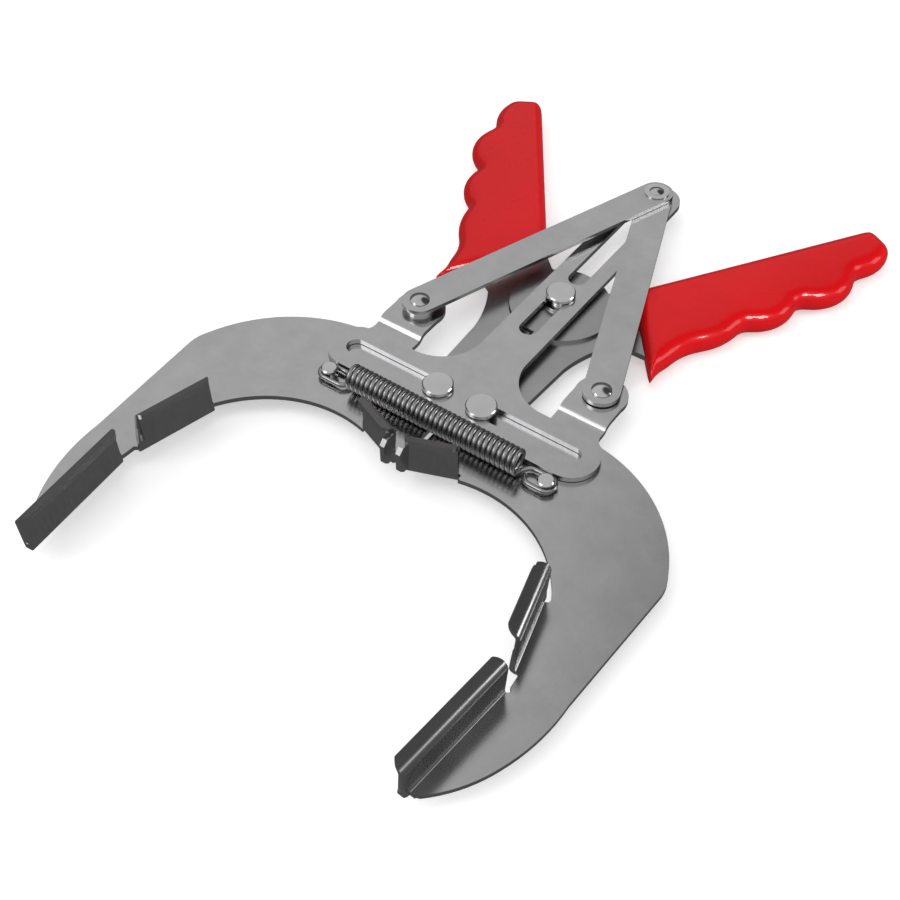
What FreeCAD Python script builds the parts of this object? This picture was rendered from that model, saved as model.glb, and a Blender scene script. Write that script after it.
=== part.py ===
"""Piston ring expander pliers: stamped, plated steel linkage with dipped grips.

All lengths are millimetres.  The linkage is laid out from a working datum:
X runs from the left jaw to the right jaw, Y runs back to the handles with
Y = 0 on the line of the guide slots, and Z = 0 is the underside of the jaws.
Every sub-part is then placed so that the origin of the finished part lies
under the middle of its box, on the surface that the grips rest on.
"""
import FreeCAD, Part
import math
import os
import Sketcher

os.makedirs("parts", exist_ok=True)
doc = FreeCAD.newDocument("ring_pliers")
V = FreeCAD.Vector

# ---------------------------------------------------------------- sizes
SIZES = {
    # where the finished origin lies, seen from the working datum
    "datum_y": 17.86, "datum_z": -5.7,
    # linkage centres
    "ear_x": 34.0, "ear_y": 26.1, "stud_x": 8.0, "pivot_y": 57.0, "rear_y": 119.4,
    "post_x": 39.4, "post_y": -13.3,
    # sheet thicknesses and the height of each layer's underside
    "jaw_t": 1.6, "plate_t": 1.8, "link_t": 1.4, "lever_t": 2.0,
    "plate_z": 1.8, "ear_raise": 1.9, "link_right_z": 3.95, "link_left_z": 5.5, "lever_z": -2.3,
    # guide plate
    "bar_half": 9.0, "bar_reach": 48.4, "stem_half": 8.5, "stem_fillet": 15.0,
    "slot_half": 3.15, "slot_end": 39.5,
    "stem_slot_front": 38.2, "window_front": 67.5, "window_rear": 106.0,
    # link
    "link_half": 5.8, "rivet_hole": 2.55,
    # studs, rivets and washers
    "head_radius": 4.85, "head_t": 1.75, "guide_shank": 2.6, "pivot_shank": 3.06,
    "rivet_radius": 2.5, "dome_radius": 3.2, "dome_rise": 1.1, "collar_radius": 4.3,
    # jaw sheet
    "ear_radius": 8.3, "bend_out": 2.2, "tab_top": 14.1, "tab_lean": 0.8, "lip_bend": 1.0,
    "lip_length": 2.6, "lip_tilt": 22.0, "tab_corner": 3.6, "tab_free": 2.6,
    # lever
    "disc_radius": 16.6, "joggle_radius": 18.4, "disc_rise": 1.1, "arm_half": 7.3,
    # grip
    "grip_half_t": 4.4,
    # spring
    "coil_radius": 4.4, "wire": 1.7, "coil_z": 6.35, "coil_reach": 31.5, "hook_z": 3.1,
}

sheet = doc.addObject("Spreadsheet::Sheet", "Sizes")
for row, (alias, number) in enumerate(SIZES.items(), start=1):
    sheet.set(f"A{row}", alias)
    sheet.set(f"B{row}", str(number))
    sheet.setAlias(f"B{row}", alias)
doc.recompute()


class Size:
    """A length known both as a number and as an expression on the Sizes sheet."""

    def __init__(self, number, text):
        self.number = number
        self.text = text

    def join(self, other, sign, result):
        right = other.text if isinstance(other, Size) else repr(float(other))
        return Size(result, f"({self.text} {sign} {right})")

    def __add__(self, other):
        return self.join(other, "+", self.number + number_of(other))

    def __sub__(self, other):
        return self.join(other, "-", self.number - number_of(other))

    def __mul__(self, other):
        return self.join(other, "*", self.number * number_of(other))

    def __truediv__(self, other):
        return self.join(other, "/", self.number / number_of(other))

    def __neg__(self):
        return Size(-self.number, f"(0 - {self.text})")


def number_of(value):
    return value.number if isinstance(value, Size) else float(value)


def size(alias):
    return Size(float(sheet.get(alias)), f"Sizes.{alias}")


# ---------------------------------------------------------------- sketch helpers
def origin_plane(body, role):
    for feature in body.Origin.OriginFeatures:
        if feature.Role == role:
            return feature


def new_body(label):
    body = doc.addObject("PartDesign::Body", label)
    body.Label = label
    return body


def new_sketch(body, name, role="XY_Plane", lift=0.0):
    sketch = body.newObject("Sketcher::SketchObject", name)
    sketch.AttachmentSupport = [(origin_plane(body, role), "")]
    sketch.MapMode = "FlatFace"
    if isinstance(lift, Size):
        sketch.setExpression(".AttachmentOffset.Base.z", lift.text)
    else:
        sketch.AttachmentOffset = FreeCAD.Placement(V(0, 0, lift), FreeCAD.Rotation())
    return sketch


def constrain(sketch, kind, refs, value):
    index = sketch.addConstraint(Sketcher.Constraint(kind, *refs, number_of(value)))
    if isinstance(value, Size):
        sketch.setExpression(f"Constraints[{index}]", value.text)


def pin_point(sketch, geometry, end, x, y):
    """Hold one end of a curve at (x, y) from the sketch origin."""
    for kind, value in (("DistanceX", x), ("DistanceY", y)):
        constrain(sketch, kind, (-1, 1, geometry, end), value)


def circle(sketch, x, y, radius):
    centre = V(number_of(x), number_of(y), 0)
    geometry = sketch.addGeometry(Part.Circle(centre, V(0, 0, 1), number_of(radius)))
    pin_point(sketch, geometry, 3, x, y)
    constrain(sketch, "Radius", (geometry,), radius)


def outline(sketch, corners):
    """Closed outline.  Each corner is (x, y) or (x, y, radius): the side that leaves the
    corner is straight, or an arc of that radius, turning left where it is positive."""
    count = len(corners)
    places = [V(number_of(corner[0]), number_of(corner[1]), 0) for corner in corners]
    for index, corner in enumerate(corners):
        start = places[index]
        finish = places[(index + 1) % count]
        if len(corner) == 2:
            sketch.addGeometry(Part.LineSegment(start, finish))
        else:
            radius = number_of(corner[2])
            arc = Part.Arc(start, arc_middle(start, finish, radius), finish)
            sketch.addGeometry(arc)
    for index, corner in enumerate(corners):
        turned = len(corner) == 3 and number_of(corner[2]) < 0
        pin_point(sketch, index, 2 if turned else 1, corner[0], corner[1])
        follows = corners[(index + 1) % count]
        next_turned = len(follows) == 3 and number_of(follows[2]) < 0
        refs = (index, 1 if turned else 2, (index + 1) % count, 2 if next_turned else 1)
        sketch.addConstraint(Sketcher.Constraint("Coincident", *refs))
        if len(corner) == 3:
            constrain(sketch, "Radius", (index,), corner[2] if not turned else -corner[2])


def arc_middle(start, finish, radius):
    """Middle of the shorter arc from start to finish, turning left for a positive radius."""
    chord = finish - start
    half = chord.Length / 2
    rise = abs(radius) - math.sqrt(max(radius * radius - half * half, 0.0))
    right = V(chord.y, -chord.x, 0).normalize()
    return (start + finish) * 0.5 + right * (rise if radius > 0 else -rise)


def pad(body, sketch, name, length, midplane=False):
    feature = body.newObject("PartDesign::Pad", name)
    feature.Profile = sketch
    if isinstance(length, Size):
        feature.setExpression("Length", length.text)
    else:
        feature.Length = length
    feature.Midplane = midplane
    body.Tip = feature
    doc.recompute()
    return feature


def pocket_through(body, sketch, name):
    """Cut a sketch right through, both ways, and prove that it cut something."""
    before = body.Shape.Volume
    feature = body.newObject("PartDesign::Pocket", name)
    feature.Profile = sketch
    feature.Type = "Length"
    feature.Length = 60.0
    feature.Midplane = True
    body.Tip = feature
    doc.recompute()
    if body.Shape.Volume >= before:
        raise RuntimeError(f"{name} cut nothing")
    return feature


def slot(sketch, first, last, along, half):
    """A slot with round ends whose centres lie at first and last along X or Y."""
    a, b = first - half, last + half
    if along == "X":
        corners = [(first, -half), (last, -half, half), (b, 0, half),
                   (last, half), (first, half, half), (a, 0, half)]
    else:
        corners = [(half, first), (half, last, half), (0, b, half),
                   (-half, last), (-half, first, half), (0, a, half)]
    outline(sketch, corners)


def mirrored(corners, side):
    """Corners for the right-hand piece, or turned over in X for the left-hand one."""
    if side > 0:
        return corners
    return [(-x, y, *(-radius for radius in arc)) for x, y, *arc in corners]


def place(thing, x=0.0, y=0.0, turn=0.0):
    """Set a finished sub-part at (x, y) of the working datum, turned about Z."""
    spot = V(number_of(x), number_of(y) - number_of(datum_y), -number_of(datum_z))
    thing.Placement = FreeCAD.Placement(spot, FreeCAD.Rotation(V(0, 0, 1), turn))


datum_y, datum_z = size("datum_y"), size("datum_z")
ear_x, ear_y = size("ear_x"), size("ear_y")
stud_x, pivot_y, rear_y = size("stud_x"), size("pivot_y"), size("rear_y")
post_x, post_y = size("post_x"), size("post_y")
jaw_t, plate_t, link_t, lever_t = size("jaw_t"), size("plate_t"), size("link_t"), size("lever_t")
plate_z, lever_z, ear_raise = size("plate_z"), size("lever_z"), size("ear_raise")
link_z = {1: size("link_right_z"), -1: size("link_left_z")}
NAMES = {1: "right", -1: "left"}
finished = []


# ---------------------------------------------------------------- guide plate
def make_guide_plate():
    """T-shaped plate: two slots across for the guide studs, one along for the pivot."""
    body = new_body("guide_plate")
    bar, reach, stem = size("bar_half"), size("bar_reach"), size("stem_half")
    fillet, half = size("stem_fillet"), size("slot_half")
    sketch = new_sketch(body, "guide_outline", lift=plate_z)
    right = [(reach - bar, -bar, bar), (reach, 0, bar), (reach - bar, bar),
             (stem + fillet, bar, -fillet), (stem, bar + fillet), (stem, rear_y, stem)]
    left = [(-stem, rear_y), (-stem, bar + fillet, -fillet), (-(stem + fillet), bar),
            (-(reach - bar), bar, bar), (-reach, 0, bar), (-(reach - bar), -bar)]
    outline(sketch, right + [(0, rear_y + stem, stem)] + left)
    pad(body, sketch, "guide_pad", plate_t)
    cuts = {
        "slot_right": (stud_x, size("slot_end"), "X"),
        "slot_left": (-size("slot_end"), -stud_x, "X"),
        "pivot_slot": (size("stem_slot_front"), pivot_y, "Y"),
        "window": (size("window_front"), size("window_rear"), "Y"),
    }
    for name, (first, last, along) in cuts.items():
        sketch = new_sketch(body, name + "_outline")
        slot(sketch, first, last, along, half)
        pocket_through(body, sketch, name)
    hole = new_sketch(body, "rear_hole_outline")
    circle(hole, 0, rear_y, size("rivet_radius"))
    pocket_through(body, hole, "rear_hole")
    place(body)
    finished.append(body)


# ---------------------------------------------------------------- links
def make_link(side):
    """Flat link from the rear rivet to the raised ear of a jaw."""
    label = "link_" + NAMES[side]
    body = new_body(label)
    half = size("link_half")
    drop = rear_y - ear_y
    reach = math.hypot(ear_x.number, drop.number)
    length = Size(reach, f"sqrt({ear_x.text}^2 + {drop.text}^2)")
    sketch = new_sketch(body, label + "_outline", lift=link_z[side])
    slot(sketch, -length, Size(0.0, "0"), "Y", half)
    pad(body, sketch, label + "_pad", link_t)
    holes = new_sketch(body, label + "_holes")
    for y in (Size(0.0, "0"), -length):
        circle(holes, 0, y, size("rivet_hole"))
    pocket_through(body, holes, label + "_bores")
    place(body, 0, rear_y, side * math.degrees(math.atan2(ear_x.number, drop.number)))
    finished.append(body)


# ---------------------------------------------------------------- turned pieces
def make_turned(label, profile, x, y):
    """Round piece: a half profile of (radius, height) corners turned about Z."""
    body = new_body(label)
    sketch = new_sketch(body, label + "_profile", "XZ_Plane")
    outline(sketch, profile)
    turned = body.newObject("PartDesign::Revolution", label + "_turned")
    turned.Profile = sketch
    turned.ReferenceAxis = (sketch, ["V_Axis"])
    turned.Angle = 360.0
    body.Tip = turned
    doc.recompute()
    place(body, x, y)
    finished.append(body)


def make_washer(label, inner, outer, low, high, x, y):
    make_turned(label, [(inner, low), (outer, low), (outer, high), (inner, high)], x, y)


def make_headed_stud(label, shank, foot, x, y):
    """Flat-headed stud standing through a slot, its lower end riveted over at foot."""
    head, head_t = size("head_radius"), size("head_t")
    under = plate_z + plate_t + 0.2
    bevel = 0.35
    profile = [(0, foot - 1.1), (shank + 0.9, foot - 1.1), (shank + 1.4, foot - 0.6),
               (shank + 1.4, foot), (shank, foot), (shank, under),
               (head - bevel, under), (head, under + bevel), (head, under + head_t - bevel),
               (head - bevel, under + head_t), (0, under + head_t)]
    make_turned(label, profile, x, y)


def make_ear_rivet(side):
    """Rivet with a domed head: holds a link on the raised ear."""
    shank, dome, rise = size("rivet_radius"), size("dome_radius"), size("dome_rise")
    top = link_z[side] + link_t + 0.05
    foot = ear_raise - 0.05
    sphere = dome_sphere(dome, rise)
    profile = [(0, foot - 0.8), (shank + 0.4, foot - 0.8), (shank + 0.8, foot - 0.4),
               (shank + 0.8, foot), (shank, foot), (shank, top), (dome, top),
               (dome, top + 0.25, sphere), (0, top + rise + 0.25)]
    make_turned("ear_rivet_" + NAMES[side], profile, ear_x * side, ear_y)


def dome_sphere(radius, rise):
    """Radius of the sphere whose cap has this radius and rise."""
    return (radius * radius + rise * rise) / (rise * 2.0)


def make_rear_rivet():
    """Rivet through the rear of the guide plate: both links turn on it."""
    shank, dome, rise = size("rivet_radius"), size("rivet_radius"), size("dome_rise") * 0.8
    top = link_z[-1] + link_t + 0.5
    foot = plate_z - 0.05
    profile = [(0, foot - 0.9), (shank + 1.0, foot - 0.9), (shank + 1.5, foot - 0.4),
               (shank + 1.5, foot), (shank, foot), (shank, top, dome_sphere(dome, rise)),
               (0, top + rise)]
    make_turned("rear_rivet", profile, 0, rear_y)


# ---------------------------------------------------------------- jaws
def prism(points, height):
    """Solid of a closed plan outline of straight sides, from z = 0 up."""
    wire = Part.makePolygon(points + [points[0]])
    return Part.Face(wire).extrude(V(0, 0, height))


class Frame:
    """A tab's own axes: s along its root, n away from the ring opening, z up."""

    def __init__(self, root_start, root_end):
        self.start = root_start
        self.along = (root_end - root_start).normalize()
        self.length = (root_end - root_start).Length
        self.out = V(self.along.y, -self.along.x, 0)

    def point(self, s, n, z):
        return self.start + self.along * s + self.out * n + V(0, 0, z)


def tab_block(axes, s_span, n_span, z_span):
    """Square block in a tab's own axes."""
    (s0, s1), (n0, n1), (z0, z1) = s_span, n_span, z_span
    return prism([axes.point(s0, n0, z0), axes.point(s1, n0, z0), axes.point(s1, n1, z0),
                  axes.point(s0, n1, z0)], z1 - z0)


def tab_strip(axes):
    """Section of a tab, drawn square to its root and run along it."""
    sheet_t, outer, lean = jaw_t.number, size("bend_out").number, size("tab_lean").number
    wall_top, lip_bend = size("tab_top").number - sheet_t, size("lip_bend").number
    turn = math.radians(90.0 - size("lip_tilt").number)
    lip = size("lip_length").number

    def bend(n, z, radius, angles):
        return [axes.point(0, n + radius * math.cos(a), z + radius * math.sin(a)) for a in angles]

    lower_out = bend(outer, outer, outer, [1.5 * math.pi, 1.25 * math.pi, math.pi])
    lower_in = bend(outer, outer, outer - sheet_t, [math.pi, 1.25 * math.pi, 1.5 * math.pi])
    upper_in = bend(lean - lip_bend, wall_top, lip_bend, [0, turn / 2, turn])
    upper_out = bend(lean - lip_bend, wall_top, lip_bend + sheet_t, [turn, turn / 2, 0])
    away = axes.out * (-math.sin(turn) * lip) + V(0, 0, math.cos(turn) * lip)
    flange = outer + 1.0
    flat_low, flat_high = axes.point(0, flange, 0), axes.point(0, flange, sheet_t)
    edges = [
        Part.makeLine(flat_low, lower_out[0]), Part.Arc(*lower_out).toShape(),
        Part.makeLine(lower_out[2], upper_in[0]), Part.Arc(*upper_in).toShape(),
        Part.makeLine(upper_in[2], upper_in[2] + away),
        Part.makeLine(upper_in[2] + away, upper_out[0] + away),
        Part.makeLine(upper_out[0] + away, upper_out[0]), Part.Arc(*upper_out).toShape(),
        Part.makeLine(upper_out[2], lower_in[0]), Part.Arc(*lower_in).toShape(),
        Part.makeLine(lower_in[2], flat_high), Part.makeLine(flat_high, flat_low),
    ]
    return Part.Face(Part.Wire(edges)).extrude(axes.along * axes.length)


def spandrel(block, centre, direction, radius):
    """What is left of a block outside a round bar: cutting it away rounds a corner."""
    return block.cut(Part.makeCylinder(radius, 60, centre - direction * 30, direction))


def make_tab(root_start, root_end, free_front=False, free_rear=False, stepped=False):
    """Upright tab bent from the jaw's inner edge, its top lip flared into the opening.

    Where an end is free, the wall runs on past the cut in the plate.  A stepped lip starts
    behind the wall's front end and is narrower over its last stretch."""
    axes = Frame(root_start, root_end)
    sheet_t, lean, free = jaw_t.number, size("tab_lean").number, size("tab_free").number
    length, corner = axes.length, size("tab_corner").number
    tilt = math.radians(size("lip_tilt").number)
    lip_reach = (lean - size("lip_bend").number * (1 - math.sin(tilt))
                 - size("lip_length").number * math.cos(tilt))
    lip_first = 1.8 if stepped else 0.0
    # the cutters run past the tab's ends and its width; the upper ones start halfway up the wall
    over, wide, above = 1.0, 8.0, (5, 30)
    flange, cut_height = (sheet_t + 0.05, wide), (-over, 4)
    inner, beyond = lip_reach + corner, lip_reach - 3
    cuts = [
        spandrel(tab_block(axes, (lip_first - over, lip_first + corner), (beyond, inner), above),
                 axes.point(lip_first + corner, inner, 0), V(0, 0, 1), corner),
        spandrel(tab_block(axes, (length - corner, length + over), (beyond, inner), above),
                 axes.point(length - corner, inner, 0), V(0, 0, 1), corner),
    ]
    if free_front:
        cuts.append(tab_block(axes, (-over, free), flange, cut_height))
        cuts.append(spandrel(tab_block(axes, (-over, corner), (-wide, wide), (-over, corner)),
                             axes.point(corner, 0, corner), axes.out, corner))
    if free_rear:
        cuts.append(tab_block(axes, (length - free, length + over), flange, cut_height))
    if stepped:
        narrow_length, narrow_depth, slant_run = 2.4, 0.9, 2.6
        cuts.append(tab_block(axes, (length - narrow_length, length + over),
                              (-wide, lip_reach + narrow_depth), above))
        cuts.append(tab_block(axes, (-over, lip_first), (-wide, -0.4), above))
        slant = [axes.point(s, -wide, z) for s, z in ((-over, 5), (0, 5), (slant_run, 20), (-over, 20))]
        cuts.append(Part.Face(Part.makePolygon(slant + [slant[0]])).extrude(axes.out * 2.5 * wide))
    return tab_strip(axes).cut(cuts)


def offset_root(root_start, root_end, distance):
    """Both ends of a tab's root, moved away from the opening."""
    axes = Frame(root_start, root_end)
    return axes.point(0, distance, 0), axes.point(axes.length, distance, 0)


# inner face of each tab where it meets the underside of the right-hand jaw
CENTRE_TAB = (V(2.6, -30.9, 0), V(17.3, -25.3, 0))
MIDDLE_TAB = (V(64.6, -69.6, 0), V(58.3, -44.8, 0))
FRONT_TAB = (V(62.58, -113.89, 0), V(65.9, -75.5, 0))


def jaw_plate():
    """Flat of the right-hand jaw: a broad hook round the ring opening."""
    outer = size("bend_out").number
    centre_in, centre_out = offset_root(*reversed(CENTRE_TAB), outer)
    middle_front, middle_rear = offset_root(*MIDDLE_TAB, outer)
    front_tip, front_rear = offset_root(*FRONT_TAB, outer)
    free = size("tab_free").number
    front_tip += Frame(*FRONT_TAB).along * free
    middle_end = middle_rear - Frame(*MIDDLE_TAB).along * free
    neck_left, neck_right = ear_x.number - 8.1, ear_x.number + 8.1
    runs = [
        [V(1.0, -27.6, 0), V(1.0, 6.8, 0), V(22.9, 6.8, 0)],
        ("arc", V(24.9, 8.2, 0)),
        [V(neck_left, 11.4, 0), V(neck_left, 13.6, 0), V(neck_right, 13.6, 0), V(neck_right, 12.4, 0)],
        ("arc", V(43.2, 10.0, 0)),
        [V(46.0, 8.8, 0)],
        ("arc", V(71.1, -3.3, 0)),
        [V(83.3, -20.5, 0)],
        ("arc", V(84.7, -24.3, 0)),
        [V(84.9, -28.2, 0), V(82.6, -69.7, 0)],
        ("arc", V(81.6, -83.0, 0)),
        [V(78.6, -93.5, 0)],
        ("arc", V(74.4, -102.0, 0)),
        [V(67.0, -110.8, 0), front_tip, front_rear],
        [V(68.9, -74.6, 0), V(67.9, -73.9, 0), V(67.7, -71.2, 0), V(67.6, -69.6, 0)],
        [middle_front, middle_end, V(61.8, -46.3, 0), V(61.9, -45.0, 0), V(61.2, -44.1, 0)],
        ("arc", V(48.6, -30.7, 0)),
        [V(17.3, -25.3, 0), V(17.2, -23.4, 0), centre_in, centre_out],
    ]
    edges, last, pending = [], None, None
    first = runs[0][0]
    for run in runs:
        if run[0] == "arc":
            pending = run[1]
            continue
        for spot in run:
            if pending is not None:
                edges.append(Part.Arc(last, pending, spot).toShape())
                pending = None
            elif last is not None:
                edges.append(Part.makeLine(last, spot))
            last = spot
    edges.append(Part.makeLine(last, first))
    return Part.Face(Part.Wire(edges)).extrude(V(0, 0, jaw_t.number))


def jaw_ear():
    """Ear at the rear of the jaw, stepped up clear of the guide plate."""
    x, y, sheet_t = ear_x.number, ear_y.number, jaw_t.number
    raised, radius = ear_raise.number, size("ear_radius").number
    ramp, half_rise = 2.5, raised / 2
    bend = (ramp * ramp + half_rise * half_rise) / (2 * half_rise)
    low_centre, high_centre = V(x, 13.6, bend), V(x, 13.6 + 2 * ramp, raised - bend)
    slope = math.asin(ramp / bend)

    def sweep(centre, radius, base, first, last):
        turns = [base + first, base + (first + last) / 2, base + last]
        spots = [centre + V(-10, math.sin(a) * radius, -math.cos(a) * radius) for a in turns]
        return Part.Arc(*spots).toShape()

    def level(first, last, height):
        return Part.makeLine(V(x - 10, first, height), V(x - 10, last, height))

    rear = y + radius
    edges = [level(11.5, low_centre.y, 0), sweep(low_centre, bend, 0, 0, slope),
             sweep(high_centre, bend, math.pi, slope, 0), level(high_centre.y, rear, raised),
             Part.makeLine(V(x - 10, rear, raised), V(x - 10, rear, raised + sheet_t)),
             level(rear, high_centre.y, raised + sheet_t),
             sweep(high_centre, bend + sheet_t, math.pi, 0, slope),
             sweep(low_centre, bend - sheet_t, 0, slope, 0), level(low_centre.y, 11.5, sheet_t),
             Part.makeLine(V(x - 10, 11.5, sheet_t), V(x - 10, 11.5, 0))]
    strip = Part.Face(Part.Wire(edges)).extrude(V(20, 0, 0))
    half = 8.1
    plan = prism([V(x - half, 11.5, 0), V(x + half, 11.5, 0), V(x + half, y, 0), V(x - half, y, 0)], 10)
    round_end = Part.makeCylinder(radius, 10, V(x, y, 0))
    return strip.common(plan.fuse(round_end))


def beak():
    """Plate bent forward at the inner end of the centre tab: it enters the ring's gap."""
    x, sheet_t = 2.0, jaw_t.number
    top = size("tab_top").number - sheet_t
    rear, front = CENTRE_TAB[0].y + 1.9, CENTRE_TAB[0].y - 3.3
    corner, foot = 1.6, 2.6
    side = [(rear, foot), (front + corner, foot), (front, foot + corner), (front, top - corner),
            (front + corner, top), (rear, top)]
    points = [V(x, along, height) for along, height in side]
    return Part.Face(Part.makePolygon(points + [points[0]])).extrude(V(sheet_t, 0, 0))


def make_jaw(side):
    """Jaw stamped from one sheet: plate, ear, three tabs and the beak."""
    label = "jaw_" + NAMES[side]
    shape = jaw_plate().fuse([jaw_ear(), beak(), make_tab(*reversed(CENTRE_TAB)),
                              make_tab(*MIDDLE_TAB, free_rear=True, stepped=True),
                              make_tab(*FRONT_TAB, free_front=True)])
    holes = [(stud_x, 0.0, size("guide_shank").number + 0.02),
             (post_x, post_y, 1.52), (ear_x, ear_y, size("rivet_radius").number + 0.02)]
    for x, y, radius in holes:
        spot = V(number_of(x), number_of(y), -5)
        shape = shape.cut(Part.makeCylinder(radius, 20, spot))
    shape = shape.removeSplitter()
    if side < 0:
        shape = shape.mirror(V(0, 0, 0), V(1, 0, 0))
    jaw = doc.addObject("Part::Feature", label)
    jaw.Label = label
    jaw.Shape = shape
    place(jaw)
    finished.append(jaw)


# ---------------------------------------------------------------- levers
def polar(radius, degrees):
    """Point on a circle about the pivot."""
    turn = math.radians(degrees)
    return radius * math.cos(turn), pivot_y + radius * math.sin(turn)


def fan(inner, outer, first, last):
    """Ring sector about the pivot between two angles."""
    return [(*polar(inner, last), -inner), polar(inner, first),
            (*polar(outer, first), outer), polar(outer, last)]


def make_lever(side):
    """Lever: front arm, joggled pivot disc and the tang inside the grip."""
    label = "lever_" + NAMES[side]
    body = new_body(label)
    disc, joggle, arm = size("disc_radius"), size("joggle_radius"), size("arm_half")
    rise = size("disc_rise")
    inside = disc + 0.3
    first, last = -87.6, 50.0
    strap = [(stud_x - arm, 0, arm), (stud_x, -arm, arm), (stud_x + arm, 0),
             (16.2, 17.0), (17.0, 32.3, -42.0), (24.2, 50.6), (26.2, 51.8), (37.5, 52.0),
             (46.0, 66.0), (67.0, 120.0), (72.0, 138.0), (66.5, 142.0), (23.5, 81.5),
             (*polar(inside, last), -inside), polar(inside, first)]
    sketch = new_sketch(body, label + "_strap_outline", lift=lever_z)
    outline(sketch, mirrored(strap, side))
    pad(body, sketch, label + "_strap", lever_t)
    disc_z = lever_z + rise if side > 0 else lever_z - rise
    low = lever_z if side > 0 else disc_z
    riser = new_sketch(body, label + "_riser_outline", lift=low)
    outline(riser, mirrored(fan(inside, joggle, first, last), side))
    pad(body, riser, label + "_riser", lever_t + rise)
    web = new_sketch(body, label + "_web_outline", lift=disc_z)
    outline(web, mirrored(fan(disc * 0.7, joggle, first, last), side))
    pad(body, web, label + "_web", lever_t)
    round_part = new_sketch(body, label + "_disc_outline", lift=disc_z)
    circle(round_part, 0, pivot_y, disc)
    pad(body, round_part, label + "_disc", lever_t)
    bore = new_sketch(body, label + "_bore_outline")
    circle(bore, 0, pivot_y, size("pivot_shank") + 0.06)
    pocket_through(body, bore, label + "_bore")
    # the stud rocks in this slot as the lever swings
    rock = new_sketch(body, label + "_stud_slot_outline")
    half_x, half_y = 3.1, 3.4
    oblong = [(stud_x - half_x, 0, half_y), (stud_x, -half_y, half_y),
              (stud_x + half_x, 0, half_y), (stud_x, half_y, half_y)]
    outline(rock, mirrored(oblong, side))
    pocket_through(body, rock, label + "_stud_slot")
    place(body)
    finished.append(body)


GRIP_OUTLINE = [
    (41.7, 43.7, -14.8), (42.4, 54.2, -20.8), (46.8, 66.1, 23.2), (53.4, 81.1, -3.8),
    (55.0, 83.7, 15.2), (63.2, 101.4, -3.8), (64.8, 104.2, 15.2), (73.2, 124.8, -6.8),
    (74.8, 130.0, 15.2), (77.4, 143.5, 3.2), (76.2, 145.7), (69.4, 149.8, 3.7), (66.2, 148.5),
    (17.1, 76.0, 1.8), (17.4, 73.9), (41.1, 43.6, 0.8),
]


def make_grip(side):
    """Dipped vinyl grip over the lever's tang, with finger scallops on its outer edge."""
    label = "grip_" + NAMES[side]
    body = new_body(label)
    half = size("grip_half_t")
    middle = lever_z + lever_t * 0.5
    sketch = new_sketch(body, label + "_outline", lift=middle)
    outline(sketch, mirrored(GRIP_OUTLINE, side))
    pad(body, sketch, label + "_pad", half * 2.0, midplane=True)
    tang = [(24.0, 50.4), (37.55, 51.9), (46.1, 66.0), (67.1, 120.0), (72.1, 138.0), (66.5, 142.1),
            (23.4, 81.6), (10.8, 70.1)]
    pocket = new_sketch(body, label + "_socket_outline", lift=lever_z)
    outline(pocket, mirrored(tang, side))
    before = body.Shape.Volume
    socket = body.newObject("PartDesign::Pocket", label + "_socket")
    socket.Profile = pocket
    socket.setExpression("Length", lever_t.text)
    socket.Reversed = True
    body.Tip = socket
    doc.recompute()
    if body.Shape.Volume >= before:
        raise RuntimeError(label + " socket cut nothing")
    place(body)
    finished.append(body)


# ---------------------------------------------------------------- spring
def make_spring_post(side):
    """Headed post that a hook of the spring goes round."""
    neck, head = 1.5, 2.6
    profile = [(0, 0.05), (neck, 0.05), (neck, jaw_t + 0.02), (head, jaw_t + 0.02), (head, jaw_t + 0.5),
               (neck, jaw_t + 0.5), (neck, 4.2), (head, 4.3), (head, 4.9), (head - 0.4, 5.2), (0, 5.2)]
    make_turned("spring_post_" + NAMES[side], profile, post_x * side, post_y)


def make_coil(side):
    """Half of the close-wound body of the spring, as a plain tube."""
    label = "spring_coil_" + NAMES[side]
    outer, wire = size("coil_radius"), size("wire")
    body = new_body(label)
    sketch = new_sketch(body, label + "_outline", "YZ_Plane")
    circle(sketch, post_y, size("coil_z"), outer)
    circle(sketch, post_y, size("coil_z"), outer - wire)
    feature = pad(body, sketch, label + "_pad", size("coil_reach"))
    feature.Reversed = side < 0
    doc.recompute()
    place(body)
    finished.append(body)


def make_hook(side):
    """End hook: a long flat loop lying round its post, under the end of the coil."""
    label = "spring_hook_" + NAMES[side]
    wire = size("wire").number / 2
    bend, z = 2.85, size("hook_z").number
    outer_x, inner_x, y = post_x.number, size("coil_reach").number + 4.0, post_y.number
    corners = [V(inner_x, y - bend, z), V(outer_x, y - bend, z), V(outer_x + bend, y, z),
               V(outer_x, y + bend, z), V(inner_x, y + bend, z), V(inner_x - bend, y, z)]
    path = Part.Wire([Part.makeLine(corners[0], corners[1]),
                      Part.Arc(corners[1], corners[2], corners[3]).toShape(),
                      Part.makeLine(corners[3], corners[4]),
                      Part.Arc(corners[4], corners[5], corners[0]).toShape()])
    ring = Part.Wire(Part.makeCircle(wire, corners[0], V(1, 0, 0)))
    shape = path.makePipe(Part.Face(ring))
    if side < 0:
        shape = shape.mirror(V(0, 0, 0), V(1, 0, 0))
    hook = doc.addObject("Part::Feature", label)
    hook.Label = label
    hook.Shape = shape
    place(hook)
    finished.append(hook)


# ---------------------------------------------------------------- the assembly
lever_top = lever_z + lever_t
disc_top = lever_top + size("disc_rise")
disc_foot = lever_z - size("disc_rise")

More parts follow.
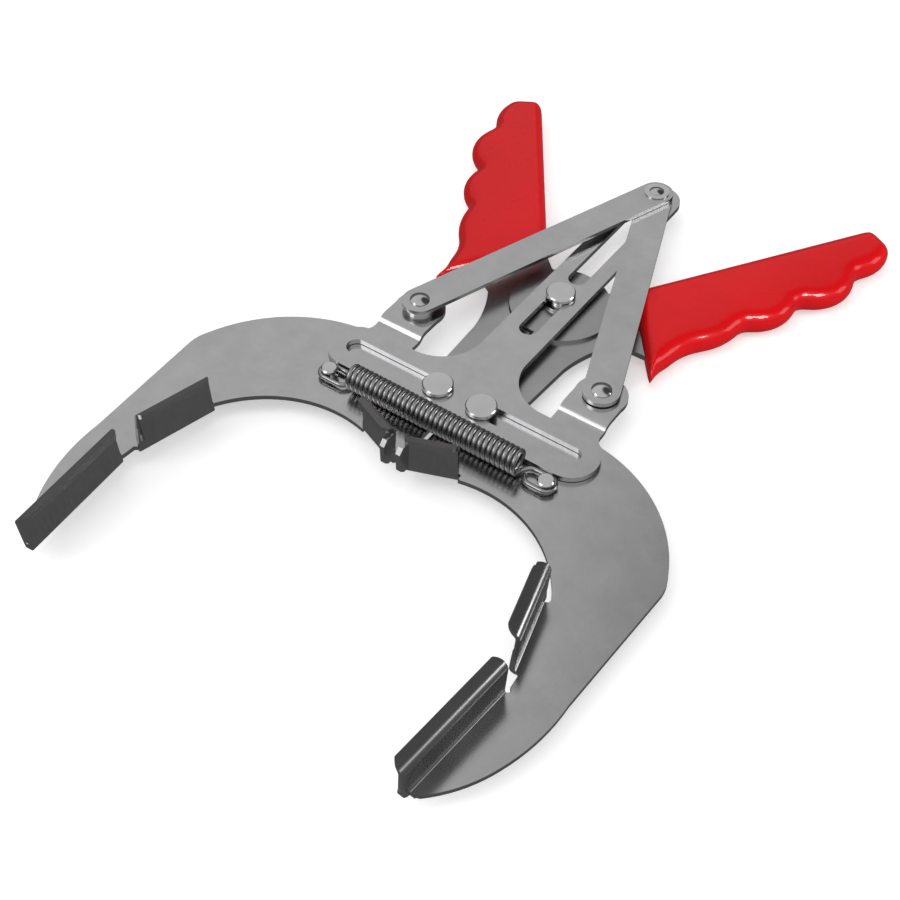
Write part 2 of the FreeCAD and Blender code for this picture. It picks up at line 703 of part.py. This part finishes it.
make_guide_plate()
make_rear_rivet()
make_washer("rear_collar", 2.55, size("collar_radius"), link_z[-1] + link_t + 0.08,
            link_z[-1] + link_t + 0.45, 0, rear_y)
make_headed_stud("pivot_stud", size("pivot_shank"), disc_foot - 0.65, 0, pivot_y)
make_washer("pivot_spacer", 3.1, 5.2, disc_top + 0.12, plate_z - 0.12, 0, pivot_y)
make_washer("pivot_washer", 3.1, 5.2, disc_foot - 0.6, disc_foot - 0.12, 0, pivot_y)
for side in (1, -1):
    make_link(side)
    make_jaw(side)
    make_headed_stud("guide_stud_" + NAMES[side], size("guide_shank"), lever_z - 0.65,
                     stud_x * side, Size(0.0, "0"))
    make_washer("guide_washer_" + NAMES[side], 2.65, 4.9, lever_z - 0.6, lever_z - 0.12,
                stud_x * side, 0)
    make_ear_rivet(side)
    make_washer("ear_spacer_" + NAMES[side], 2.55, 4.6, ear_raise + jaw_t + 0.04,
                link_z[side] - 0.1, ear_x * side, ear_y)
    make_spring_post(side)
    make_lever(side)
    make_grip(side)
    make_coil(side)
    make_hook(side)

doc.recompute()
for thing in doc.Objects:
    if "Invalid" in thing.State or "Error" in thing.State:
        raise RuntimeError(f"{thing.Name} did not compute: {thing.State}")
for thing in finished:
    if thing.Shape.isNull() or not thing.Shape.isValid():
        raise RuntimeError(f"{thing.Label} has no valid shape")
    thing.Shape.exportStep(f"parts/{thing.Label}.step")
    print(f"{thing.Label:22s} solids {len(thing.Shape.Solids)}  volume {thing.Shape.Volume:10.1f}")
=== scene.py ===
"""Looks of the piston ring expander pliers: plated sheet steel, a close-wound spring, dipped grips."""
import math

import bmesh
import bpy
import numpy as np
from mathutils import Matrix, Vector
from mathutils.geometry import delaunay_2d_cdt


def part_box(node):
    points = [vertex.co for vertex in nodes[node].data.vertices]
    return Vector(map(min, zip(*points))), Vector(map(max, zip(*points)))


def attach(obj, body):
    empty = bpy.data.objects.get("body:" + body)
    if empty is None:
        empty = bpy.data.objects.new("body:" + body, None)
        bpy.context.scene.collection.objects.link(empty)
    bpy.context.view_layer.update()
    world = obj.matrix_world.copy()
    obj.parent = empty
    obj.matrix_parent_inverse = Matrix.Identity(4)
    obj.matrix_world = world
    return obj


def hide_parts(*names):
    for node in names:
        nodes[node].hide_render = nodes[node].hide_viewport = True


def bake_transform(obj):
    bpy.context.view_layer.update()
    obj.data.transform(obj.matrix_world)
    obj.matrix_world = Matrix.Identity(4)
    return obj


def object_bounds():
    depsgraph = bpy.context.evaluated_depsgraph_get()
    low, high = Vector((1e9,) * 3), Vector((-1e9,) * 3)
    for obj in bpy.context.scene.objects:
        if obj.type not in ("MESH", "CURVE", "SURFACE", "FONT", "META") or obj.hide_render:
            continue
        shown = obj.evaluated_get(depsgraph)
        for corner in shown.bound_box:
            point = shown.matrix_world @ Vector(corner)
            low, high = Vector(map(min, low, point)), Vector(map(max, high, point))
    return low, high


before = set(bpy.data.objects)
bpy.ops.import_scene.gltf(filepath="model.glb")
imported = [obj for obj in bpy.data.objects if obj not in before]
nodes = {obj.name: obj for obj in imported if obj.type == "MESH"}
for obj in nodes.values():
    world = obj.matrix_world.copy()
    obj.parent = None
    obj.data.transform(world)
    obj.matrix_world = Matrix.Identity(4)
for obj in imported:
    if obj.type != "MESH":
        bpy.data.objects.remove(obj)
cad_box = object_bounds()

MM = 0.001
SIDES = {"right": 1, "left": -1}
RANGE_SOCKETS = ("From Min", "From Max", "To Min", "To Max")


# ------------------------------------------------------------------ shader helpers
class Shader:
    """A material under construction, with short names for the nodes it needs."""

    def __init__(self, name):
        self.material = bpy.data.materials.new(name)
        self.material.use_nodes = True
        self.tree = self.material.node_tree
        self.surface = next(n for n in self.tree.nodes if n.type == "BSDF_PRINCIPLED")
        self.coordinates = self.add("ShaderNodeTexCoord").outputs["Object"]

    def add(self, kind, **settings):
        node = self.tree.nodes.new(kind)
        for key, value in settings.items():
            setattr(node, key, value)
        return node

    def link(self, source, target):
        self.tree.links.new(source, target)

    def set(self, values):
        for key, value in values.items():
            self.surface.inputs[key].default_value = value

    def stretched(self, scale):
        mapping = self.add("ShaderNodeMapping")
        mapping.inputs["Scale"].default_value = scale
        self.link(self.coordinates, mapping.inputs["Vector"])
        return mapping.outputs["Vector"]

    def noise(self, scale, detail=3.0, stretch=None, roughness=0.5):
        texture = self.add("ShaderNodeTexNoise")
        texture.inputs["Scale"].default_value = scale
        texture.inputs["Detail"].default_value = detail
        texture.inputs["Roughness"].default_value = roughness
        self.link(self.stretched(stretch) if stretch else self.coordinates, texture.inputs["Vector"])
        return texture.outputs["Fac"]

    def remap(self, value, from_low, from_high, low, high):
        node = self.add("ShaderNodeMapRange")
        for key, number in zip(RANGE_SOCKETS, (from_low, from_high, low, high)):
            node.inputs[key].default_value = number
        self.link(value, node.inputs["Value"])
        return node.outputs["Result"]

    def math(self, operation, first, second):
        node = self.add("ShaderNodeMath", operation=operation)
        for socket, value in zip(node.inputs, (first, second)):
            if isinstance(value, (int, float)):
                socket.default_value = value
            else:
                self.link(value, socket)
        return node.outputs["Value"]

    def mix(self, factor, first, second):
        node = self.add("ShaderNodeMix", data_type="RGBA")
        self.link(factor, node.inputs["Factor"])
        for socket, value in ((node.inputs[6], first), (node.inputs[7], second)):
            if isinstance(value, tuple):
                socket.default_value = (*value, 1.0)
            else:
                self.link(value, socket)
        return node.outputs[2]

    def bump(self, height, depth, strength):
        node = self.add("ShaderNodeBump")
        node.inputs["Distance"].default_value = depth
        node.inputs["Strength"].default_value = strength
        self.link(height, node.inputs["Height"])
        self.link(node.outputs["Normal"], self.surface.inputs["Normal"])


def shade(colour, amount):
    return tuple(channel * amount for channel in colour)


def mottled(shader, colour, pattern, darker, lighter):
    """The colour, varied a little between a darker and a lighter tone of it."""
    amount = shader.remap(pattern, 0.3, 0.7, 0.0, 1.0)
    return shader.mix(amount, shade(colour, darker), shade(colour, lighter))


def plated_steel(name, colour, rough, edge=0.0):
    """Bright zinc plate: faint mottling, fine grain and, on sheet, a torn look on the cut edges."""
    shader = Shader(name)
    tint = mottled(shader, colour, shader.noise(110.0, detail=5.0, roughness=0.6), 0.93, 1.05)
    cloud = shader.noise(24.0, detail=2.0)
    roughness = shader.remap(cloud, 0.3, 0.7, rough - 0.03, rough + 0.05)
    grain = shader.noise(1500.0, detail=2.0)
    drawn = shader.noise(260.0, detail=3.0, stretch=(1.0, 0.12, 1.0))
    height = shader.math("ADD", grain, shader.math("MULTIPLY", drawn, 0.7))
    if edge:
        split = shader.add("ShaderNodeSeparateXYZ")
        shader.link(shader.add("ShaderNodeNewGeometry").outputs["True Normal"], split.inputs[0])
        steep = shader.remap(shader.math("ABSOLUTE", split.outputs["Z"], 0.0), 0.25, 0.75, 1.0, 0.0)
        torn = shader.noise(900.0, detail=4.0, stretch=(1.0, 1.0, 0.25), roughness=0.7)
        bite = shader.math("MULTIPLY", steep, shader.remap(torn, 0.35, 0.65, 0.0, edge))
        tint = shader.mix(bite, tint, shade(colour, 0.45))
        roughness = shader.math("ADD", roughness, shader.math("MULTIPLY", bite, 0.22))
    shader.link(tint, shader.surface.inputs["Base Color"])
    shader.link(roughness, shader.surface.inputs["Roughness"])
    shader.set({"Metallic": 1.0})
    shader.bump(height, 0.012 * MM, 0.5)
    return shader.material


def dipped_vinyl(name, colour):
    """Thick glossy dip: an even red with soft waves, fine peel and faint flow lines."""
    shader = Shader(name)
    tint = mottled(shader, colour, shader.noise(38.0, detail=3.0), 0.93, 1.04)
    shader.link(tint, shader.surface.inputs["Base Color"])
    roughness = shader.remap(shader.noise(60.0), 0.3, 0.7, 0.24, 0.33)
    shader.link(roughness, shader.surface.inputs["Roughness"])
    shader.set({"Coat Weight": 0.4, "Coat Roughness": 0.04, "Specular IOR Level": 0.08,
                "Subsurface Weight": 0.05, "Subsurface Radius": (0.8, 0.1, 0.08),
                "Subsurface Scale": 1.2 * MM})
    wave = shader.noise(120.0, detail=2.0)
    flow = shader.noise(70.0, detail=3.0, stretch=(1.0, 0.3, 1.0))
    peel = shader.noise(1400.0, detail=2.0)
    height = shader.math("ADD", shader.math("ADD", wave, flow), shader.math("MULTIPLY", peel, 0.08))
    shader.bump(height, 0.05 * MM, 0.6)
    return shader.material


SHEET = plated_steel("zinc_plated_sheet", (0.60, 0.60, 0.605), 0.19, edge=0.15)
TURNED = plated_steel("polished_rivet_steel", (0.70, 0.70, 0.705), 0.13)
WIRE = plated_steel("bright_spring_wire", (0.44, 0.44, 0.445), 0.21)
# the levers use a darker, rougher copy of the plated sheet; the darker colour is painted shade for
# where they lie under the guide plate and links
LEVER_PAINTED_SHADE = plated_steel("zinc_plated_lever_painted_shade", (0.50, 0.50, 0.505), 0.30, edge=0.15)
VINYL = dipped_vinyl("red_dipped_vinyl", (0.42, 0.003, 0.005))


# ------------------------------------------------------------------ carried-over steel
def soften_edges(piece, width):
    """Break the sharp edges of a sheet piece."""
    bevel = piece.modifiers.new("broken_edge", "BEVEL")
    bevel.width = width
    bevel.segments = 2
    bevel.limit_method = "ANGLE"
    bevel.angle_limit = math.radians(35)
    bevel.use_clamp_overlap = False
    bevel.harden_normals = True


def finish_node(name, material, edge_width):
    piece = nodes[name]
    for slot in piece.material_slots:
        slot.material = material
    if edge_width:
        soften_edges(piece, edge_width)


BROKEN_EDGE = 0.16 * MM
for name in nodes:
    if name.startswith("lever"):
        finish_node(name, LEVER_PAINTED_SHADE, BROKEN_EDGE)
    elif name.startswith(("guide_plate", "jaw", "link")):
        finish_node(name, SHEET, BROKEN_EDGE)
    elif not name.startswith(("grip", "spring_coil", "spring_hook")):
        finish_node(name, TURNED, 0.0)


# ------------------------------------------------------------------ mesh helpers
def new_piece(name, vertices, faces, material):
    mesh = bpy.data.meshes.new(name)
    mesh.from_pydata([tuple(v) for v in vertices], [], faces)
    mesh.validate()
    work = bmesh.new()
    work.from_mesh(mesh)
    bmesh.ops.recalc_face_normals(work, faces=work.faces)
    work.to_mesh(mesh)
    work.free()
    mesh.shade_smooth()
    mesh.materials.append(material)
    piece = bpy.data.objects.new(name, mesh)
    bpy.context.scene.collection.objects.link(piece)
    return piece


def tube(name, path, radius, material, sides):
    """Round wire along a path of points, with rounded-off ends."""
    path = np.array(path)
    along = np.gradient(path, axis=0)
    along /= np.linalg.norm(along, axis=1)[:, None]
    across = np.cross(along[0], (0.3, 0.2, 1.0))
    vertices, faces = [], []
    turn = np.arange(sides) * 2 * math.pi / sides
    for index, (spot, forward) in enumerate(zip(path, along)):
        across = across - forward * (across @ forward)
        across /= np.linalg.norm(across)
        up = np.cross(forward, across)
        ring = spot + radius * (np.cos(turn)[:, None] * across + np.sin(turn)[:, None] * up)
        vertices.extend(ring)
        if index:
            low = (index - 1) * sides
            for k in range(sides):
                after = (k + 1) % sides
                faces.append((low + k, low + after, low + sides + after, low + sides + k))
    for end, ring_start, sign in ((0, 0, -1), (-1, (len(path) - 1) * sides, 1)):
        vertices.append(path[end] + along[end] * sign * radius * 0.35)
        tip = len(vertices) - 1
        for k in range(sides):
            faces.append((ring_start + k, ring_start + (k + 1) % sides, tip))
    return new_piece(name, vertices, faces, material)


# ------------------------------------------------------------------ dipped grips
def plan_outline(node, spacing):
    """Outline of a flat-topped CAD solid, seen from above, in millimetres, at an even spacing."""
    mesh = nodes[node].data
    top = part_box(node)[1][2]
    flat = bmesh.new()
    flat.from_mesh(mesh)
    bmesh.ops.remove_doubles(flat, verts=flat.verts, dist=1e-6)
    lid = [f for f in flat.faces if all(abs(v.co.z - top) < 1e-6 for v in f.verts)]
    rim = [e for e in flat.edges if sum(f in lid for f in e.link_faces) == 1]
    follows = {}
    for edge in rim:
        for a, b in ((0, 1), (1, 0)):
            follows.setdefault(edge.verts[a], []).append(edge.verts[b])
    start = rim[0].verts[0]
    loop, before, here = [start], start, follows[start][0]
    while here is not start:
        loop.append(here)
        before, here = here, next(v for v in follows[here] if v is not before)
    corners = np.array([(v.co.x, v.co.y) for v in loop]) / MM
    flat.free()
    closed = np.vstack([corners, corners[:1]])
    lengths = np.concatenate([[0], np.cumsum(np.linalg.norm(np.diff(closed, axis=0), axis=1))])
    steps = np.linspace(0, lengths[-1], int(lengths[-1] / spacing), endpoint=False)
    return np.column_stack([np.interp(steps, lengths, closed[:, k]) for k in (0, 1)])


def nearest_on(loop, points):
    """Nearest point of a closed loop to each point, and how far it is."""
    start, finish = loop, np.roll(loop, -1, axis=0)
    run = finish - start
    offset = points[:, None, :] - start[None]
    share = np.clip((offset * run).sum(-1) / (run * run).sum(-1), 0, 1)
    spots = start[None] + share[..., None] * run[None]
    gaps = np.linalg.norm(points[:, None, :] - spots, axis=-1)
    pick = gaps.argmin(axis=1)
    rows = np.arange(len(points))
    return spots[rows, pick], gaps[rows, pick]


def inside(loop, points):
    """Whether each point lies inside a closed loop."""
    a, b = loop, np.roll(loop, -1, axis=0)
    x, y = points[:, None, 0], points[:, None, 1]
    crosses = (a[:, 1] > y) != (b[:, 1] > y)
    rise = np.where(b[:, 1] == a[:, 1], 1e-9, b[:, 1] - a[:, 1])
    left = x < a[:, 0] + (y - a[:, 1]) * (b[:, 0] - a[:, 0]) / rise
    return (crosses & left).sum(axis=1) % 2 == 1


def smoothed(loop, passes):
    for _ in range(passes):
        loop = (np.roll(loop, 1, axis=0) + 2 * loop + np.roll(loop, -1, axis=0)) / 4
    return loop


def rim_rings(loop, rim):
    """The outline itself and the rings inside it, spaced for a rounded rim of that radius."""
    inward = np.roll(loop, -1, axis=0) - np.roll(loop, 1, axis=0)
    inward = np.column_stack([-inward[:, 1], inward[:, 0]])
    inward /= np.linalg.norm(inward, axis=1)[:, None]
    if not inside(loop, loop + inward * 0.05).mean() > 0.5:
        inward = -inward
    rings = [loop]
    for angle in range(12, 91, 13):
        target = rim * (1 - math.cos(math.radians(angle)))
        ring = loop + inward * target
        for _ in range(4):
            spot, gap = nearest_on(loop, ring)
            ring = spot + (ring - spot) * (target / np.maximum(gap, 1e-6))[:, None]
        gap = nearest_on(loop, ring)[1]
        rings.append(ring[(gap > target * 0.97) & inside(loop, ring)])
    return rings


def lattice_inside(loop, clearance, step):
    """Even triangular lattice of points that lie inside the outline, clear of it."""
    xs = np.arange(loop[:, 0].min(), loop[:, 0].max(), step)
    ys = np.arange(loop[:, 1].min(), loop[:, 1].max(), step * 0.866)
    points = np.array([(x + (row % 2) * step / 2, y) for row, y in enumerate(ys) for x in xs])
    points = points[inside(loop, points)]
    return points[nearest_on(loop, points)[1] > clearance]


def pillow(flat, tall, middle, triangles, count):
    """Closed form of the triangulated plan, tall above and below its middle height.

    The first count points are the outline, which a few rows of faces join all round."""
    total = len(flat)
    vertices = [(*p, middle + sign * z) for sign in (1, -1) for p, z in zip(flat, tall)]
    faces = [tuple(t) for t in triangles]
    faces += [tuple(k + total for k in reversed(t)) for t in triangles]
    rows = [list(range(count))]
    for share in (0.5, 0.0, -0.5):
        rows.append(list(range(len(vertices), len(vertices) + count)))
        vertices += [(*flat[k], middle + tall[k] * share) for k in range(count)]
    rows.append([k + total for k in range(count)])
    for upper, lower in zip(rows, rows[1:]):
        for k in range(count):
            after = (k + 1) % count
            faces.append((upper[k], upper[after], lower[after], lower[k]))
    return vertices, faces


def make_grip(side):
    """Vinyl grip: the CAD solid's outline with a rounded rim, a gentle crown and a rolled mouth."""
    node = "grip_" + side
    low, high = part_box(node)
    middle, half = (low[2] + high[2]) / 2 / MM, (high[2] - low[2]) / 2 / MM
    loop = plan_outline(node, 0.6)
    mouth_start = loop[loop[:, 1].argmin()]
    mouth = loop[(loop[:, 0] * SIDES[side]).argmin()] - mouth_start
    mouth /= np.linalg.norm(mouth)
    loop = smoothed(loop, 12)
    centre = loop.mean(axis=0)
    spine = np.linalg.svd(loop - centre)[2][0]
    rim, crown, bead = 4.0, 0.15, 0.1
    crown_half_width, bead_place, bead_width = 12.0, 1.9, 1.3
    flank = half - rim - crown - bead

    def distance_from(line_point, direction, points):
        offset = points - line_point
        return np.abs(offset[:, 0] * direction[1] - offset[:, 1] * direction[0])

    def height(points, depth):
        turn = np.clip(depth / rim, 0, 1)
        rounded = rim * np.sqrt(1 - (1 - turn) ** 2)
        aside = distance_from(centre, spine, points) / crown_half_width
        swell = crown * turn * np.clip(1 - aside ** 2, 0, 1)
        from_bead = (distance_from(mouth_start, mouth, points) - bead_place) / bead_width
        roll = bead * np.clip(turn * 2, 0, 1) * np.exp(-from_bead ** 2)
        return flank + rounded + swell + roll

    plan = np.vstack(rim_rings(loop, rim) + [lattice_inside(loop, rim + 0.6, 1.5)])
    count = len(loop)
    edges = [(k, (k + 1) % count) for k in range(count)]
    flat, _, triangles, *_ = delaunay_2d_cdt([Vector(p) for p in plan], edges, [], 1, 1e-4)
    flat = np.array([tuple(p) for p in flat])
    tall = height(flat, nearest_on(loop, flat)[1])
    vertices, faces = pillow(flat, tall, middle, triangles, count)
    piece = new_piece("vinyl_grip_" + side, np.array(vertices) * MM, faces, VINYL)
    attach(piece, "lever_" + side)
    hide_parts(node)
    return piece


grips = [make_grip(side) for side in SIDES]


# ------------------------------------------------------------------ tension spring
def catmull(points, steps):
    """A smooth curve through the points, with that many steps between each two."""
    points = [2 * points[0] - points[1]] + list(points) + [2 * points[-1] - points[-2]]
    curve = []
    for p0, p1, p2, p3 in zip(points, points[1:], points[2:], points[3:]):
        for t in np.arange(steps) / steps:
            curve.append(0.5 * (2 * p1 + (p2 - p0) * t + (2 * p0 - 5 * p1 + 4 * p2 - p3) * t * t
                                + (3 * p1 - p0 - 3 * p2 + p3) * t ** 3))
    return curve + [points[-2]]


def make_spring():
    """One close-wound coil and its two end hooks, in place of the plain CAD solids."""
    left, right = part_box("spring_coil_left"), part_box("spring_coil_right")
    hook_low, hook_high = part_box("spring_hook_right")
    wire = (hook_high[2] - hook_low[2]) / 2
    drawn_wire, wire_sides = wire * 0.95, 14
    axis_y, axis_z = (left[0][1] + left[1][1]) / 2, (left[0][2] + left[1][2]) / 2
    coil = (left[1][2] - left[0][2]) / 2 - wire - 0.15 * MM
    start, finish = left[0][0] + wire, right[1][0] - wire
    turns, steps = 36, 26

    def helix(turn):
        angle = 2 * math.pi * turn - math.pi / 2
        x = start + (finish - start) * turn / turns
        return np.array([x, axis_y + coil * math.cos(angle), axis_z + coil * math.sin(angle)])

    path = [helix(k / steps) for k in range(turns * steps + 1)]
    body = tube("spring_coil", path, drawn_wire, WIRE, wire_sides)
    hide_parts("spring_coil_left", "spring_coil_right")
    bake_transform(body)

    # each hook leaves the underside of the last turn and lies flat round its post
    bend = (hook_high[1] - hook_low[1]) / 2 - wire
    z = (hook_high[2] + hook_low[2]) / 2
    outer = hook_high[0] - wire - bend
    inner = hook_low[0] + wire + bend

    def round_end(x, first, last):
        angles = [math.radians(degrees) for degrees in range(first, last, -12)]
        return [np.array([x + bend * math.cos(a), axis_y + bend * math.sin(a), z]) for a in angles]

    route = [helix(turns - share) for share in (0.12, 0.08, 0.04, 0.0)]
    route += [np.array([finish + 0.9 * MM, axis_y + 1.3 * MM, (z + axis_z - coil) / 2]),
              np.array([finish + 2.4 * MM, axis_y + bend * 0.93, z])]
    route += [np.array([inner + (outer - inner) * share, axis_y + bend, z]) for share in (0, 0.5)]
    route += round_end(outer, 90, -91) + round_end(inner, -90, -176)
    smooth = catmull(route, 5)
    for side, sign in SIDES.items():
        places = [np.array([sign * p[0], axis_y + sign * (p[1] - axis_y), p[2]]) for p in smooth]
        hook = tube("spring_hook_wire_" + side, places, drawn_wire, WIRE, wire_sides)
        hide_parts("spring_hook_" + side)
        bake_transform(hook)


make_spring()


# ------------------------------------------------------------------ studio
def make_floor():
    """Pale sweep: a flat round floor whose far edge curves up into a backdrop."""
    mesh = bpy.data.meshes.new("studio_floor")
    profile = [(3.0, 0.0), (4.0, 0.0), (5.5, 0.15), (6.8, 0.7), (7.8, 1.8), (8.2, 3.2)]
    around = 64
    turns = [2 * math.pi * k / around for k in range(around)]
    vertices = [(reach * math.cos(turn), reach * math.sin(turn), rise)
                for reach, rise in profile for turn in turns]
    faces = [tuple(range(around))]
    for row in range(len(profile) - 1):
        for k in range(around):
            after = (k + 1) % around
            low = row * around
            faces.append((low + k, low + around + k, low + around + after, low + after))
    mesh.from_pydata(vertices, [], faces)
    mesh.shade_smooth()
    floor = bpy.data.objects.new("studio_floor", mesh)
    floor.location.z = cad_box[0][2] - 0.3 * MM
    bpy.context.scene.collection.objects.link(floor)
    shader = Shader("pale_floor")
    speck = shader.noise(6.0, detail=2.0)
    tint = shader.mix(speck, (0.90, 0.90, 0.90), (0.93, 0.93, 0.93))
    shader.link(tint, shader.surface.inputs["Base Color"])
    shader.set({"Roughness": 0.9, "Emission Color": (1.0, 1.0, 1.0, 1.0), "Emission Strength": 0.45})
    mesh.materials.append(shader.material)
    # the steel mirrors the dim lower half of the sky instead of the bright sheet below it
    floor.visible_glossy = False


def make_sky():
    """Soft surroundings: dim below, brightening from the horizon to overhead."""
    world = bpy.data.worlds.new("studio_sky")
    bpy.context.scene.world = world
    world.use_nodes = True
    tree = world.node_tree
    sky = next(n for n in tree.nodes if n.type == "BACKGROUND")
    place = tree.nodes.new("ShaderNodeTexCoord")
    split = tree.nodes.new("ShaderNodeSeparateXYZ")
    remap = tree.nodes.new("ShaderNodeMapRange")
    remap.inputs["From Min"].default_value = -1.0
    ramp = tree.nodes.new("ShaderNodeValToRGB")
    ramp.color_ramp.interpolation = "EASE"
    # brightness against height: -1 straight down, 1 straight up
    levels = [(-1.0, 0.11), (0.0, 0.11), (0.32, 0.12), (0.46, 0.56), (0.65, 0.60), (1.0, 0.58)]
    band = ramp.color_ramp.elements
    while len(band) < len(levels):
        band.new(0.5)
    for stop, (height, value) in zip(band, levels):
        stop.position = (height + 1) / 2
        stop.color = (value, value, value, 1)
    tree.links.new(place.outputs["Generated"], split.inputs[0])
    tree.links.new(split.outputs["Z"], remap.inputs["Value"])
    tree.links.new(remap.outputs["Result"], ramp.inputs["Fac"])
    tree.links.new(ramp.outputs["Color"], sky.inputs["Color"])
    # a black flag high at the rear right, which the flared lips and rounded edges mirror
    flag = tree.nodes.new("ShaderNodeVectorMath")
    flag.operation = "DOT_PRODUCT"
    flag.inputs[1].default_value = (0.30, 0.60, 0.74)
    shade_off = tree.nodes.new("ShaderNodeMapRange")
    for key, number in zip(RANGE_SOCKETS, (0.82, 0.92, 1.0, 0.10)):
        shade_off.inputs[key].default_value = number
    tree.links.new(place.outputs["Generated"], flag.inputs[0])
    tree.links.new(flag.outputs["Value"], shade_off.inputs["Value"])
    tree.links.new(shade_off.outputs["Result"], sky.inputs["Strength"])


def make_light(name, spot, aim, size, power, mirrored=True, lights_only=None):
    lamp = bpy.data.lights.new(name, "AREA")
    lamp.shape = "SQUARE"
    lamp.size = size
    lamp.energy = power
    holder = bpy.data.objects.new(name, lamp)
    holder.location = spot
    holder.rotation_euler = (Vector(aim) - Vector(spot)).to_track_quat("-Z", "Y").to_euler()
    holder.visible_glossy = mirrored
    if lights_only:
        lit = bpy.data.collections.new(name + "_lights")
        for piece in lights_only:
            lit.objects.link(piece)
        holder.light_linking.receiver_collection = lit
    bpy.context.scene.collection.objects.link(holder)


def make_camera():
    camera = bpy.data.cameras.new("camera")
    camera.sensor_width = 36.0
    camera.lens = 54.1
    camera.shift_x, camera.shift_y = -0.0104, -0.0483
    camera.clip_start, camera.clip_end = 0.01, 50.0
    holder = bpy.data.objects.new("camera", camera)
    aim = Vector((0.0, -17.86, 5.7)) * MM
    azimuth, elevation, distance = math.radians(35.28), math.radians(46.01), 409.8 * MM
    holder.location = aim + distance * Vector((math.cos(elevation) * math.sin(azimuth),
                                               -math.cos(elevation) * math.cos(azimuth),
                                               math.sin(elevation)))
    holder.rotation_euler = (aim - holder.location).to_track_quat("-Z", "Y").to_euler()
    bpy.context.scene.collection.objects.link(holder)
    bpy.context.scene.camera = holder


make_floor()
make_sky()
make_light("front_left_softbox", (-0.55, -0.78, 0.95), (0, 0, 0), 0.6, 2.0)
make_light("rear_right_softbox", (0.95, 0.65, 0.55), (0, 0, 0), 0.5, 2.5)
make_light("right_window", (0.75, -0.15, 1.05), (0, 0, 0), 0.42, 15.0, lights_only=grips)
make_light("overhead_fill", (0.0, -0.4, 1.6), (0, 0, 0), 1.0, 4.5, mirrored=False)
make_camera()
bpy.context.scene.view_settings.view_transform = "Standard"
